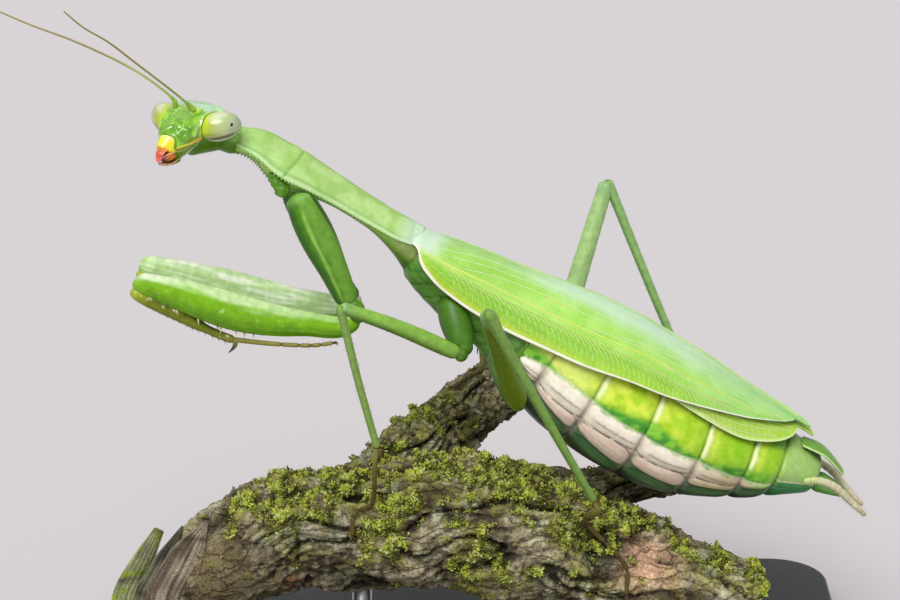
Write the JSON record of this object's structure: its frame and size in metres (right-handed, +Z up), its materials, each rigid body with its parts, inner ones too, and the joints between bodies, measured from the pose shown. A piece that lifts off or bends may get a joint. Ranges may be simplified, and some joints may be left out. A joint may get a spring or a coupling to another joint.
{
  "type": "praying mantis",
  "caption": "Still life-size model of a green praying mantis that grips a short mossy branch, held over a flat base plate by short rods.",
  "frame": {"origin": "middle of the flat underside of the stand's base plate", "axes": "+Z up; the animal faces -X, with its left side towards -Y"},
  "size_m": [0.0872, 0.0532, 0.0741],
  "materials": {
    "cuticle": "waxy leaf-green cuticle of head, chest and legs, darker on the shaded faces, satin gloss",
    "pronotum": "pale mint-green shield and neck, satin",
    "wings": "leathery light-green wing cover with raised yellow-white veins, faint sheen",
    "abdomen": "yellow-green plates over a cream side band and dark green belly plates, satin",
    "eyes": "smooth yellow-green eye with a pale sheen and one dark false pupil",
    "mouthparts": "pink-red lip and orange-brown jaws, moist",
    "feelers": "orange-brown, fine segments",
    "bark": "furrowed grey-brown bark with yellow-green moss and pale lichen",
    "stand_base": "dark satin paint",
    "stand_rod": "fine brushed"
  },
  "bodies": {
    "root": {"abdomen_ring_1": "abdomen", "abdomen_ring_2": "abdomen", "abdomen_ring_3": "abdomen", "abdomen_ring_4": "abdomen", "abdomen_ring_5": "abdomen", "abdomen_ring_6": "abdomen", "abdomen_ring_7": "abdomen", "antenna_left": "feelers", "antenna_right": "feelers", "cercus_left": "feelers", "cercus_right": "feelers", "eye_left": "eyes", "eye_right": "eyes", "foreleg_left_coxa": "cuticle", "foreleg_left_femur": "cuticle", "foreleg_left_tarsus": "cuticle", "foreleg_left_tibia": "cuticle", "foreleg_right_coxa": "cuticle", "foreleg_right_femur": "cuticle", "foreleg_right_tarsus": "cuticle", "foreleg_right_tibia": "cuticle", "forewing_left": "wings", "forewing_right": "wings", "head": "cuticle", "hindleg_left_coxa": "cuticle", "hindleg_left_femur": "cuticle", "hindleg_left_tarsus": "cuticle", "hindleg_left_tibia": "cuticle", "hindleg_right_coxa": "cuticle", "hindleg_right_femur": "cuticle", "hindleg_right_tarsus": "cuticle", "hindleg_right_tibia": "cuticle", "hindwing_left": "wings", "hindwing_right": "wings", "mesothorax": "cuticle", "metathorax": "cuticle", "midleg_left_coxa": "cuticle", "midleg_left_femur": "cuticle", "midleg_left_tarsus": "cuticle", "midleg_left_tibia": "cuticle", "midleg_right_coxa": "cuticle", "midleg_right_femur": "cuticle", "midleg_right_tarsus": "cuticle", "midleg_right_tibia": "cuticle", "mouthparts": "mouthparts", "neck": "pronotum", "ovipositor": "abdomen", "perch": "bark", "pronotum": "pronotum", "prosternum": "cuticle", "stand_base": "stand_base", "stand_rod_1": "stand_rod", "stand_rod_2": "stand_rod", "supra_anal_plate": "abdomen"}
  },
  "joints": []
}
